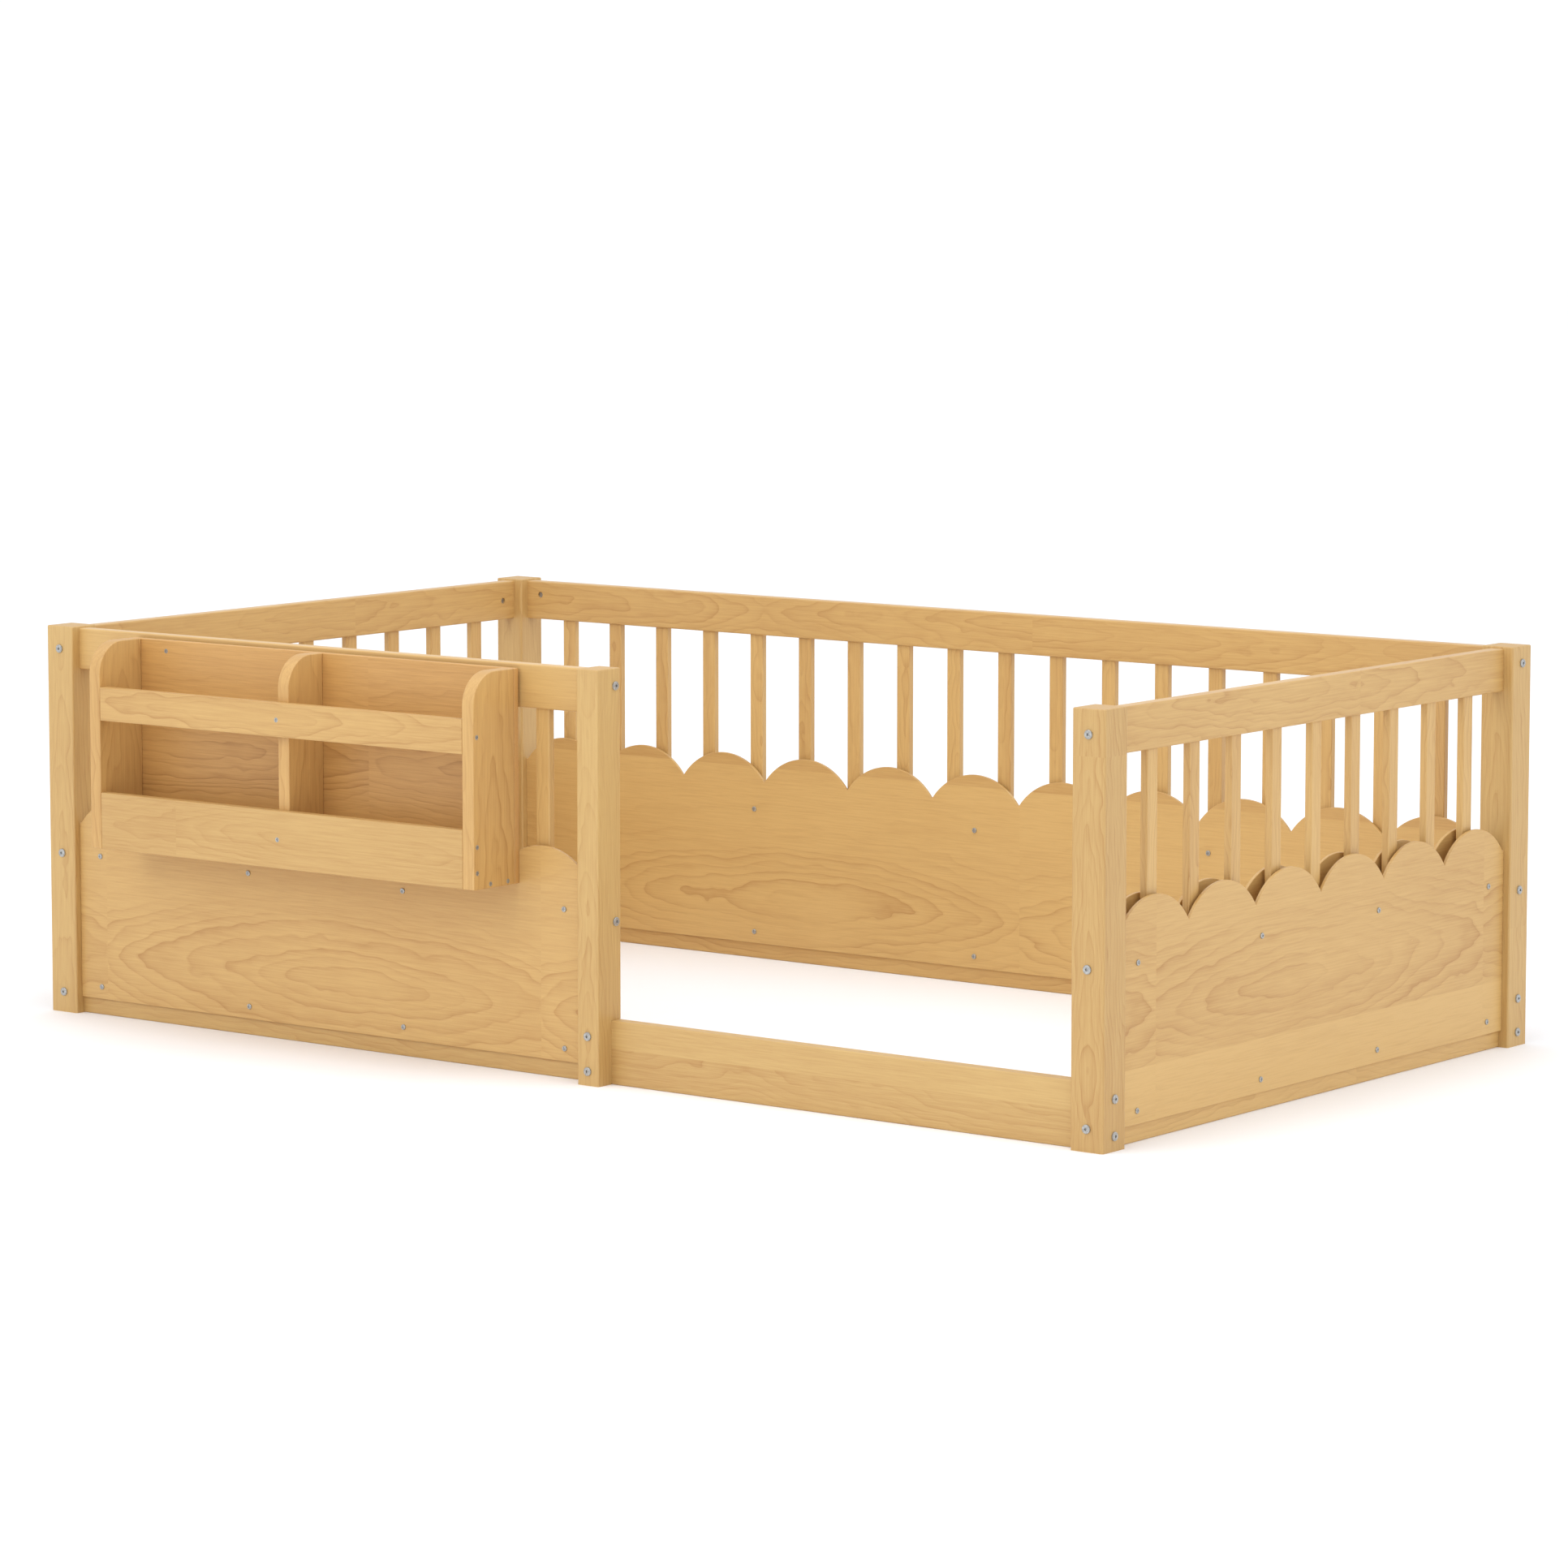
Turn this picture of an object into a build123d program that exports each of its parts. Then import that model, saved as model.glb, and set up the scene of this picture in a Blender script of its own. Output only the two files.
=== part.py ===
from build123d import *
import os
from math import ceil

# Playpen: a bolted wooden frame of bar-and-panel sides round an open floor, with an
# entrance at the front right and a shelf hung outside the front left side.
# Plan coordinates run from the outer front left corner: x along the length, y to the
# back, z up from the floor. place() moves everything to the part's own frame, whose
# origin is the bottom centre of the whole object. All sizes are in millimetres.

# ---- overall sizes ----
length = 2020.0          # over the corner posts, along x
width = 1150.0           # over the corner posts, along y
height = 615.0           # floor to post tops

# ---- posts ----
post = 55.0              # corner post, square
post_round = 3.0         # rounding on the upright edges
post_top_round = 2.0     # rounding round the top
mid_w = 40.0             # entrance post, along x
mid_proud = 14.0         # how far the entrance post stands out of the front
mid_behind = 1.5         # how far it reaches past the back of the rails

# ---- rails ----
rail_t = 22.0            # thickness of every rail
rail_round = 2.5         # rounding along the rails
top_drop = 3.0           # top rails lie this far below the post tops
top_h = 65.0             # height of the top rails
mid_h = 65.0             # height of the middle rails
mid_z = 254.0            # centre height of the middle rails
long_base_h = 95.0       # height of the base rails along the length
end_base_h = 65.0        # height of the base rails across the ends

# ---- scalloped panels ----
panel_t = 5.0            # thickness
panel_z = 26.0           # bottom edge above the floor
lobe_low = 299.0         # height of the notches between lobes
lobe_rise = 45.7         # lobe height above the notches
lobe_end = 304.5         # height of a panel's upper outer corners
lobes_side = 6           # lobes on a side of one bay
lobes_back = 11          # lobes on the back

# ---- bars ----
bar_w = 26.0             # width along the side
bar_t = 12.0             # thickness
bar_round = 2.0          # rounding along the bars
bars_side = 9            # bars in a side of one bay
bars_back = 18           # bars in the back
bars_set = 3             # bars kept together in one sub-part

# ---- frame bolts and cross dowel nuts ----
bolt_d = 6.0             # shank
bolt_head_d = 13.0       # flat head
bolt_head_h = 2.6
bolt_key = 4.0           # hexagonal recess, across flats
bolt_key_deep = 1.8
bolt_room = 0.3          # radial room round a shank
nut_d = 10.0             # cross dowel nut
nut_len = 16.0
nut_room = 0.1           # radial room round a nut
nut_in = 29.0            # nut centre from the end of its rail
bolt_past = 6.0          # shank beyond the nut's centre
z_long_top = 23.0        # below the top rail's upper edge: bolts along x
z_end_top = 32.7         # below the top rail's upper edge: bolts along y
z_long_mid = -13.0       # from the middle rail's centre: bolts along x
z_end_mid = 0.5          # from the middle rail's centre: bolts along y
base_in = 21.5           # base rail bolts along x, from its lower and upper edges
cap_d = 12.0             # flange of the nuts behind the entrance post
cap_h = 1.2
cap_body_d = 8.0
cap_body_len = 12.0

# ---- panel screws ----
screw_d = 3.5
screw_head_d = 8.5
screw_head_h = 1.8
screw_bite = 9.0         # depth in the rail
screw_room = 0.1         # radial room round a screw
screw_in = 45.0          # outer columns, from the panel ends
screw_low = 45.5         # height of the lower row
screw_high = -0.5        # upper row, from the middle rail's centre
screw_cols_side = 4
screw_cols_back = 5
slot_w = 1.1             # cross recess
slot_len = 4.6
slot_deep = 0.9

# ---- shelf ----
shelf_len = 782.0        # outside length
shelf_shift = -2.0       # its centre from the centre of the front bay
shelf_z = 285.0          # underside
shelf_top_drop = 9.0     # its sides end this far below the post tops
shelf_back_t = 10.0
shelf_side_t = 22.0
shelf_room = 77.5        # inside depth, front boards to back board
shelf_front_t = 16.0     # slat and lower front board
shelf_bottom_t = 12.0
shelf_round = 50.0       # rounding of the sides' upper front corners
slat_h = 52.0
slat_drop = 69.0         # from the top of the sides to the top of the slat
lower_h = 88.0           # lower front board
hang_in = 75.0           # hanging screws, from the ends of the back board
hang_drop = 17.0         # hanging screws, below the top of the sides
shelf_screw_d = 3.6
shelf_head_d = 7.4
shelf_head_h = 2.4
shelf_bite = 18.0        # depth in the piece that the screw holds
hang_bite = 13.0         # depth of the hanging screws in the top rail

# ---- places that follow from the sizes above ----
inset = (post - rail_t) / 2
bay = width - 2 * post
back_bay = length - 2 * post
mid_x0 = post + bay
mid_x1 = mid_x0 + mid_w
front_face = inset
front_inner = inset + rail_t
back_inner = width - inset - rail_t
left_inner = inset + rail_t
right_inner = length - inset - rail_t
top_z1 = height - top_drop
top_z0 = top_z1 - top_h
mid_z0 = mid_z - mid_h / 2
mid_z1 = mid_z + mid_h / 2
shelf_y1 = front_face - panel_t
shelf_y0 = shelf_y1 - shelf_back_t
shelf_in_y = shelf_y0 - shelf_room
shelf_front = shelf_in_y - shelf_front_t
shelf_mid = post + bay / 2 + shelf_shift
shelf_x0 = shelf_mid - shelf_len / 2
shelf_x1 = shelf_mid + shelf_len / 2
shelf_top = height - shelf_top_drop
origin_x = length / 2
origin_y = (shelf_front + width + bolt_head_h) / 2

LONG_Z = {
    "top": [top_z1 - z_long_top],
    "middle": [mid_z + z_long_mid],
    "base": [base_in, long_base_h - base_in],
}
END_Z = {
    "top": [top_z1 - z_end_top],
    "middle": [mid_z + z_end_mid],
    "base": [end_base_h / 2],
}
SCREW_Z = [screw_low, mid_z + screw_high]

DIRS = {
    "+x": (1, 0, 0),
    "-x": (-1, 0, 0),
    "+y": (0, 1, 0),
    "-y": (0, -1, 0),
}
SIDEWAYS = {"+x": (0, 1, 0), "-x": (0, -1, 0), "+y": (-1, 0, 0), "-y": (1, 0, 0)}


# ---- helpers ----
def place(x, y, z):
    """A point in the part's frame from plan coordinates."""
    return (x - origin_x, y - origin_y, z)


def slab(x0, x1, y0, y1, z0, z1):
    """A box between plan coordinates."""
    middle = place((x0 + x1) / 2, (y0 + y1) / 2, (z0 + z1) / 2)
    return Pos(*middle) * Box(x1 - x0, y1 - y0, z1 - z0)


def aimed(point, way):
    """A location at a plan point whose z axis points along way."""
    plane = Plane(origin=place(*point), x_dir=SIDEWAYS[way], z_dir=DIRS[way])
    return plane.location


def drill(point, way, radius, depth, start=0.0):
    """A round cutter from start to depth beyond a point."""
    tool = Pos(0, 0, start) * Cylinder(
        radius, depth - start, align=(Align.CENTER, Align.CENTER, Align.MIN))
    return aimed(point, way) * tool


def cut_all(body, tools):
    """The body less every tool."""
    for tool in tools:
        body = body - tool
    return body


def rounded(body, axis, radius):
    """The body with its edges along one axis rounded."""
    return fillet(body.edges().filter_by(axis), radius)


def spaced(start, end, count, size):
    """Start positions of count pieces with equal gaps between two ends."""
    gap = (end - start - count * size) / (count + 1)
    return [start + gap + i * (size + gap) for i in range(count)]


def columns(start, end, count):
    """Evenly spaced screw columns between the ends of a panel."""
    step = (end - start - 2 * screw_in) / (count - 1)
    return [start + screw_in + i * step for i in range(count)]


# ---- where the bolts and screws go ----
def corner_bolts():
    """Every bolt through a corner post: point on the outer face and its way."""
    found = []
    for name, heights in LONG_Z.items():
        for z in heights:
            found.append((0.0, post / 2, z, "+x"))
            found.append((0.0, width - post / 2, z, "+x"))
            found.append((length, width - post / 2, z, "-x"))
            if name == "base":
                found.append((length, post / 2, z, "-x"))
    for heights in END_Z.values():
        for z in heights:
            for x in (post / 2, length - post / 2):
                found.append((x, 0.0, z, "+y"))
                found.append((x, width, z, "-y"))
    return found


def entrance_side_bolts():
    """Bolts through the entrance post into the ends of the front rails."""
    heights = LONG_Z["top"] + LONG_Z["middle"]
    return [(mid_x1, post / 2, z, "-x") for z in heights]


def entrance_front_bolts():
    """Bolts through the front of the entrance post and the base rail."""
    return [(mid_x0 + mid_w / 2, -mid_proud, z, "+y") for z in LONG_Z["base"]]


def panel_sides():
    """Panels: name, face plan position, way in, span and lobe and column counts."""
    left_out = inset
    right_out = length - inset
    span = (post, width - post)
    return [
        ("panel_front_outer", front_face, "+y", (post, mid_x0),
         lobes_side, screw_cols_side),
        ("panel_back_inner", back_inner, "+y", (post, length - post),
         lobes_back, screw_cols_back),
        ("panel_left_outer", left_out, "+x", span, lobes_side, screw_cols_side),
        ("panel_left_inner", left_inner, "-x", span, lobes_side, screw_cols_side),
        ("panel_right_outer", right_out, "-x", span, lobes_side, screw_cols_side),
        ("panel_right_inner", right_inner, "+x", span, lobes_side, screw_cols_side),
    ]


def face_point(face, way, along, z, back=0.0):
    """A plan point on a panel's rail face, or back from it towards the head."""
    sign = 1 if way[0] == "+" else -1
    if way[1] == "y":
        return (along, face - sign * back, z)
    return (face - sign * back, along, z)


def panel_screws(only=None):
    """Every panel screw: point on the rail face and its way."""
    found = []
    for name, face, way, span, lobes, cols in panel_sides():
        if only and name not in only:
            continue
        for along in columns(span[0], span[1], cols):
            for z in SCREW_Z:
                found.append((face, way, along, z))
    return found


def hang_screws():
    """Screws through the shelf back into the top rail."""
    z = shelf_top - hang_drop
    return [(x, shelf_y0, z, "+y") for x in (shelf_x0 + hang_in, shelf_x1 - hang_in)]


def front_screws():
    """Screws through the shelf's front boards into its divider."""
    heights = [shelf_top - slat_drop - slat_h / 2, shelf_z + lower_h / 2]
    return [(shelf_mid, shelf_front, z, "+y") for z in heights]


def side_screws():
    """Screws through the shelf's sides into the boards between them."""
    y_front = shelf_front + shelf_front_t / 2
    low = shelf_z + lower_h / 2
    spots = [(y_front, shelf_top - slat_drop - slat_h / 2)]
    spots += [(y_front, low - lower_h * 0.22), (y_front, low + lower_h * 0.22)]
    z = shelf_z + shelf_bottom_t / 2
    inner = shelf_y0 - shelf_in_y
    spots += [(shelf_in_y + inner * 0.28, z), (shelf_in_y + inner * 0.79, z)]
    left = [(shelf_x0, y, z, "+x") for y, z in spots]
    right = [(shelf_x1, y, z, "-x") for y, z in spots]
    return left + right


# ---- posts ----
def bolt_holes(bolts, deep):
    """Clearance holes for bolts, from their heads inwards."""
    radius = bolt_d / 2 + bolt_room
    return [drill((x, y, z), way, radius, deep, -1.0) for x, y, z, way in bolts]


def soften_post(body):
    """Round the upright edges and the top of a post."""
    body = rounded(body, Axis.Z, post_round)
    top = body.faces().sort_by(Axis.Z)[-1]
    return fillet(top.edges(), post_top_round)


def corner_post(x0, y0):
    """One corner post with its bolt holes."""
    body = soften_post(slab(x0, x0 + post, y0, y0 + post, 0, height))
    mine = []
    for x, y, z, way in corner_bolts():
        inside_x = x0 - 1 <= x <= x0 + post + 1
        inside_y = y0 - 1 <= y <= y0 + post + 1
        if inside_x and inside_y:
            mine.append((x, y, z, way))
    return cut_all(body, bolt_holes(mine, post + 1))


def entrance_post():
    """The post beside the entrance, notched over the base rail."""
    back = front_inner + mid_behind
    body = soften_post(slab(mid_x0, mid_x1, -mid_proud, back, 0, height))
    notch = slab(mid_x0 - 1, mid_x1 + 1, front_face, back + 1, -1, long_base_h)
    body = cut_all(body, [notch] + bolt_holes(entrance_side_bolts(), mid_w + 1))
    return cut_all(body, bolt_holes(entrance_front_bolts(), mid_proud + inset + 1))


# ---- rails ----
def long_rail(x0, x1, y0, z0, z1, kind, inner, ends):
    """A rail along x. inner is the way its cross holes open, ends the bolted ends."""
    body = rounded(slab(x0, x1, y0, y0 + rail_t, z0, z1), Axis.X, rail_round)
    y = y0 + rail_t / 2
    tools = []
    for z in LONG_Z[kind]:
        for x, way, sign in ((x0, "+x", 1), (x1, "-x", -1)):
            if way not in ends:
                continue
            tools.append(drill((x, y, z), way, bolt_d / 2 + bolt_room,
                               nut_in + bolt_past + 1, -1.0))
            tools.append(nut_hole((x + sign * nut_in, y, z), inner))
    return cut_all(body, tools)


def end_rail(x0, z0, z1, kind, inner):
    """A rail along y between two corner posts."""
    y0 = post
    y1 = width - post
    body = rounded(slab(x0, x0 + rail_t, y0, y1, z0, z1), Axis.Y, rail_round)
    x = x0 + rail_t / 2
    tools = []
    for z in END_Z[kind]:
        for y, way, sign in ((y0, "+y", 1), (y1, "-y", -1)):
            tools.append(drill((x, y, z), way, bolt_d / 2 + bolt_room,
                               nut_in + bolt_past + 1, -1.0))
            tools.append(nut_hole((x, y + sign * nut_in, z), inner))
    return cut_all(body, tools)


def nut_hole(point, inner):
    """A blind cross hole that opens on the rail's inner face."""
    return drill(point, inner, nut_d / 2 + nut_room, rail_t, -nut_len / 2)


def pilots(names):
    """Blind holes for the screws of the named panels."""
    radius = screw_d / 2 + screw_room
    tools = []
    for face, way, along, z in panel_screws(names):
        point = face_point(face, way, along, z)
        tools.append(drill(point, way, radius, screw_bite + 0.5, -1.0))
    return tools


def only_at(tools, z0, z1):
    """The cutters whose centre lies between two heights."""
    return [t for t in tools if z0 < t.center().Z < z1]


def front_rails():
    """Top, middle and base rail of the front."""
    y0 = front_face
    short = (post, mid_x0)
    top = long_rail(*short, y0, top_z0, top_z1, "top", "+y", ("+x", "-x"))
    middle = long_rail(*short, y0, mid_z0, mid_z1, "middle", "+y", ("+x", "-x"))
    base = long_rail(post, length - post, y0, 0, long_base_h, "base", "+y",
                     ("+x", "-x"))
    holes = pilots(["panel_front_outer"])
    radius = shelf_screw_d / 2 + screw_room
    hung = [drill((x, front_face, z), way, radius, hang_bite + 0.5, -1.0)
            for x, y, z, way in hang_screws()]
    through = []
    for x, y, z, way in entrance_front_bolts():
        through.append(drill((x, front_face, z), way, bolt_d / 2 + bolt_room,
                             rail_t + 1, -1.0))
        through.append(drill((x, front_inner, z), "-y", cap_body_d / 2 + nut_room,
                             cap_body_len + 0.3, -1.0))
    return {
        "rail_front_top": cut_all(top, hung),
        "rail_front_middle": cut_all(middle, only_at(holes, mid_z0, mid_z1)),
        "rail_front_base": cut_all(base, only_at(holes, 0, long_base_h) + through),
    }


def back_rails():
    """Top, middle and base rail of the back."""
    span = (post, length - post)
    both = ("+x", "-x")
    y0 = back_inner
    top = long_rail(*span, y0, top_z0, top_z1, "top", "-y", both)
    middle = long_rail(*span, y0, mid_z0, mid_z1, "middle", "-y", both)
    base = long_rail(*span, y0, 0, long_base_h, "base", "-y", both)
    holes = pilots(["panel_back_inner"])
    return {
        "rail_back_top": top,
        "rail_back_middle": cut_all(middle, only_at(holes, mid_z0, mid_z1)),
        "rail_back_base": cut_all(base, only_at(holes, 0, long_base_h)),
    }


def end_rails(side, x0, inner):
    """Top, middle and base rail of one end."""
    holes = pilots(["panel_%s_outer" % side, "panel_%s_inner" % side])
    top = end_rail(x0, top_z0, top_z1, "top", inner)
    middle = end_rail(x0, mid_z0, mid_z1, "middle", inner)
    base = end_rail(x0, 0, end_base_h, "base", inner)
    return {
        "rail_%s_top" % side: top,
        "rail_%s_middle" % side: cut_all(middle, only_at(holes, mid_z0, mid_z1)),
        "rail_%s_base" % side: cut_all(base, only_at(holes, 0, end_base_h)),
    }


# ---- panels ----
def lobed_outline(span, lobes):
    """The outline of a panel: flat bottom and ends, round lobes along the top."""
    pitch = (span[1] - span[0]) / lobes
    edges = [Line((span[0], lobe_end), (span[0], panel_z)),
             Line((span[0], panel_z), (span[1], panel_z)),
             Line((span[1], panel_z), (span[1], lobe_end))]
    for i in range(lobes):
        a = span[0] + i * pitch
        b = a + pitch
        za = lobe_end if i == 0 else lobe_low
        zb = lobe_end if i == lobes - 1 else lobe_low
        peak = ((a + b) / 2, lobe_low + lobe_rise)
        edges.append(ThreePointArc((a, za), peak, (b, zb)))
    return make_face(Curve() + edges)


def panel(face, way, span, lobes, cols):
    """One scalloped panel lying on a rail face, with its screw holes."""
    sign = 1 if way[0] == "+" else -1
    if way[1] == "y":
        plane = Plane(origin=place(0, face, 0), x_dir=(1, 0, 0), z_dir=(0, -1, 0))
    else:
        plane = Plane(origin=place(face, 0, 0), x_dir=(0, 1, 0), z_dir=(1, 0, 0))
    outline = plane * lobed_outline(span, lobes)
    depth = sign if way[1] == "y" else -sign
    body = extrude(outline, panel_t * depth)
    tools = []
    for along in columns(span[0], span[1], cols):
        for z in SCREW_Z:
            point = face_point(face, way, along, z, panel_t)
            tools.append(drill(point, way, screw_d / 2 + screw_room,
                               panel_t + 1, -1.0))
    return cut_all(body, tools)


# ---- bars ----
def bar_sets(name, starts, make):
    """Bars grouped in sets, one sub-part for each set."""
    nodes = {}
    letters = "abcdefghijklmnop"
    for i in range(ceil(len(starts) / bars_set)):
        group = starts[i * bars_set:(i + 1) * bars_set]
        nodes["bars_%s_%s" % (name, letters[i])] = [make(s) for s in group]
    return nodes


def bar_x(y_mid):
    """A maker of upright bars in a side along x."""
    def make(x):
        body = slab(x, x + bar_w, y_mid - bar_t / 2, y_mid + bar_t / 2,
                    mid_z1, top_z0)
        return rounded(body, Axis.Z, bar_round)
    return make


def bar_y(x_mid):
    """A maker of upright bars in a side along y."""
    def make(y):
        body = slab(x_mid - bar_t / 2, x_mid + bar_t / 2, y, y + bar_w,
                    mid_z1, top_z0)
        return rounded(body, Axis.Z, bar_round)
    return make


def all_bars():
    """Bars of the four sides."""
    nodes = {}
    front = spaced(post, mid_x0, bars_side, bar_w)
    back = spaced(post, length - post, bars_back, bar_w)
    ends = spaced(post, width - post, bars_side, bar_w)
    nodes.update(bar_sets("front", front, bar_x(post / 2)))
    nodes.update(bar_sets("back", back, bar_x(width - post / 2)))
    nodes.update(bar_sets("left", ends, bar_y(post / 2)))
    nodes.update(bar_sets("right", ends, bar_y(length - post / 2)))
    return nodes


# ---- shelf ----
def shelf_upright(x0, y_front, z0):
    """A shelf side or divider with a round upper front corner."""
    body = slab(x0, x0 + shelf_side_t, y_front, shelf_y0, z0, shelf_top)
    corner = body.edges().filter_by(Axis.X).sort_by(Axis.Z)[-2:]
    return fillet(corner.sort_by(Axis.Y)[0], shelf_round)


def shelf_holes(spots, past):
    """Cutters for countersunk screws, through past millimetres and the bite."""
    tools = []
    for x, y, z, way in spots:
        spot = aimed((x, y, z), way)
        tools.append(drill((x, y, z), way, shelf_screw_d / 2 + screw_room,
                           past, -1.0))
        cone = Cone(shelf_head_d / 2 + screw_room, shelf_screw_d / 2 + screw_room,
                    shelf_head_h, align=(Align.CENTER, Align.CENTER, Align.MIN))
        tools.append(spot * cone)
    return tools


def shelf_parts():
    """The seven boards of the shelf."""
    x_in0 = shelf_x0 + shelf_side_t
    x_in1 = shelf_x1 - shelf_side_t
    slat_z1 = shelf_top - slat_drop
    div_x = shelf_mid - shelf_side_t / 2
    left = shelf_upright(shelf_x0, shelf_front, shelf_z)
    right = shelf_upright(shelf_x1 - shelf_side_t, shelf_front, shelf_z)
    divider = shelf_upright(div_x, shelf_in_y, shelf_z + shelf_bottom_t)
    back = slab(shelf_x0, shelf_x1, shelf_y0, shelf_y1, shelf_z, shelf_top)
    bottom = slab(x_in0, x_in1, shelf_in_y, shelf_y0, shelf_z,
                  shelf_z + shelf_bottom_t)
    slat = slab(x_in0, x_in1, shelf_front, shelf_in_y, slat_z1 - slat_h, slat_z1)
    lower = slab(x_in0, x_in1, shelf_front, shelf_in_y, shelf_z, shelf_z + lower_h)
    sides = shelf_holes(side_screws(), shelf_side_t + shelf_bite + 0.5)
    fronts = shelf_holes(front_screws(), shelf_front_t + shelf_bite + 0.5)
    hung = shelf_holes(hang_screws(), shelf_back_t + 1)
    return {
        "shelf_side_left": cut_all(left, sides),
        "shelf_side_right": cut_all(right, sides),
        "shelf_divider": cut_all(divider, fronts),
        "shelf_back": cut_all(back, hung),
        "shelf_bottom": cut_all(bottom, sides),
        "shelf_slat": cut_all(slat, sides + fronts),
        "shelf_lower_board": cut_all(lower, sides + fronts),
    }


# ---- fasteners: each is drawn along z with its head's underside at zero ----
def rod(radius, length_in, start=0.0):
    """A cylinder from start upwards."""
    return Pos(0, 0, start) * Cylinder(
        radius, length_in, align=(Align.CENTER, Align.CENTER, Align.MIN))


def bolt(shank):
    """A flat headed bolt with a hexagonal recess."""
    head = rod(bolt_head_d / 2, bolt_head_h, -bolt_head_h)
    head = chamfer(head.edges().sort_by(Axis.Z)[0], 0.7)
    hexagon = RegularPolygon(bolt_key / 2, 6, major_radius=False)
    recess = extrude(Pos(0, 0, -bolt_head_h) * hexagon, bolt_key_deep)
    return head + rod(bolt_d / 2, shank) - recess


def cross_slots(z):
    """A cross recess that opens downwards at z."""
    low = (Align.CENTER, Align.CENTER, Align.MIN)
    one = Box(slot_len, slot_w, slot_deep, align=low)
    two = Box(slot_w, slot_len, slot_deep, align=low)
    return Pos(0, 0, z) * (one + two)


def pan_screw():
    """A low round headed screw with a cross recess."""
    head = rod(screw_head_d / 2, screw_head_h, -screw_head_h)
    head = fillet(head.edges().sort_by(Axis.Z)[0], 0.9)
    return head + rod(screw_d / 2, panel_t + screw_bite) - cross_slots(-screw_head_h)


def flush_screw(shank):
    """A countersunk screw, flush with the face it starts in."""
    head = Cone(shelf_head_d / 2, shelf_screw_d / 2, shelf_head_h,
                align=(Align.CENTER, Align.CENTER, Align.MIN))
    return head + rod(shelf_screw_d / 2, shank) - cross_slots(0)


def frame_bolts():
    """Every bolt of the frame."""
    corner = bolt(post + nut_in + bolt_past)
    short = bolt(mid_w + nut_in + bolt_past)
    cross = bolt(mid_proud + inset + rail_t - 1)
    pieces = []
    for x, y, z, way in corner_bolts():
        pieces.append(aimed((x, y, z), way) * corner)
    for x, y, z, way in entrance_side_bolts():
        pieces.append(aimed((x, y, z), way) * short)
    for x, y, z, way in entrance_front_bolts():
        pieces.append(aimed((x, y, z), way) * cross)
    return pieces


def cross_nut():
    """A cross dowel nut along z, threaded through its side along x."""
    body = Cylinder(nut_d / 2, nut_len)
    hole = Rot(0, 90, 0) * Cylinder(bolt_d / 2 + 0.05, nut_d + 2)
    slot = Pos(0, 0, nut_len / 2) * Box(nut_d + 1, 1.2, 1.6)
    return body - hole - slot


def cross_nuts():
    """The nuts in the rail ends."""
    nut = cross_nut()
    pieces = []
    for x, y, z, way in corner_bolts():
        step = post + nut_in
        dx, dy, dz = DIRS[way]
        spot = (x + dx * step, y + dy * step, z)
        pieces.append(aimed(spot, opening_way(y, x, way)) * nut)
    for x, y, z, way in entrance_side_bolts():
        spot = (x - mid_w - nut_in, y, z)
        pieces.append(aimed(spot, "+y") * nut)
    return pieces


def opening_way(y, x, way):
    """The way the cross hole of a corner bolt opens: to the inside."""
    if way[1] == "x":
        return "+y" if y < width / 2 else "-y"
    return "+x" if x < length / 2 else "-x"


def flange_nuts():
    """The flanged nuts behind the entrance post's base rail."""
    body = rod(cap_d / 2, cap_h, -cap_h) + rod(cap_body_d / 2, cap_body_len)
    body = body - rod(bolt_d / 2 + 0.05, cap_body_len + cap_h + 2, -cap_h - 1)
    return [aimed((x, front_inner, z), "-y") * body
            for x, y, z, way in entrance_front_bolts()]


def all_panel_screws():
    """Every screw that holds a panel."""
    screw = pan_screw()
    pieces = []
    for face, way, along, z in panel_screws():
        point = face_point(face, way, along, z, panel_t)
        pieces.append(aimed(point, way) * screw)
    return pieces


def all_shelf_screws():
    """Every screw of the shelf."""
    side = flush_screw(shelf_side_t + shelf_bite)
    front = flush_screw(shelf_front_t + shelf_bite)
    hang = flush_screw(shelf_back_t + panel_t + hang_bite)
    pieces = []
    for screws, screw in ((side_screws(), side), (front_screws(), front),
                          (hang_screws(), hang)):
        for x, y, z, way in screws:
            pieces.append(aimed((x, y, z), way) * screw)
    return pieces


# ---- the whole object ----
def build():
    """Every sub-part by name."""
    nodes = {
        "post_front_left": corner_post(0, 0),
        "post_front_right": corner_post(length - post, 0),
        "post_back_left": corner_post(0, width - post),
        "post_back_right": corner_post(length - post, width - post),
        "post_entrance": entrance_post(),
    }
    nodes.update(front_rails())
    nodes.update(back_rails())
    nodes.update(end_rails("left", inset, "+x"))
    nodes.update(end_rails("right", length - inset - rail_t, "-x"))
    for name, face, way, span, lobes, cols in panel_sides():
        nodes[name] = panel(face, way, span, lobes, cols)
    nodes.update(all_bars())
    nodes.update(shelf_parts())
    nodes["bolts_frame"] = frame_bolts()
    nodes["nuts_frame"] = cross_nuts() + flange_nuts()
    nodes["screws_panel"] = all_panel_screws()
    nodes["screws_shelf"] = all_shelf_screws()
    return nodes


def write(nodes):
    """One file for each sub-part."""
    os.makedirs("parts", exist_ok=True)
    for name, shape in nodes.items():
        pieces = shape if isinstance(shape, list) else [shape]
        solids = [s for piece in pieces for s in piece.solids()]
        whole = solids[0] if len(solids) == 1 else Compound(solids)
        export_step(whole, "parts/%s.step" % name)


write(build())
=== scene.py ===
"""A bolted maple playpen with scalloped panels, upright bars and an outside shelf."""

import math
from collections import namedtuple

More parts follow.
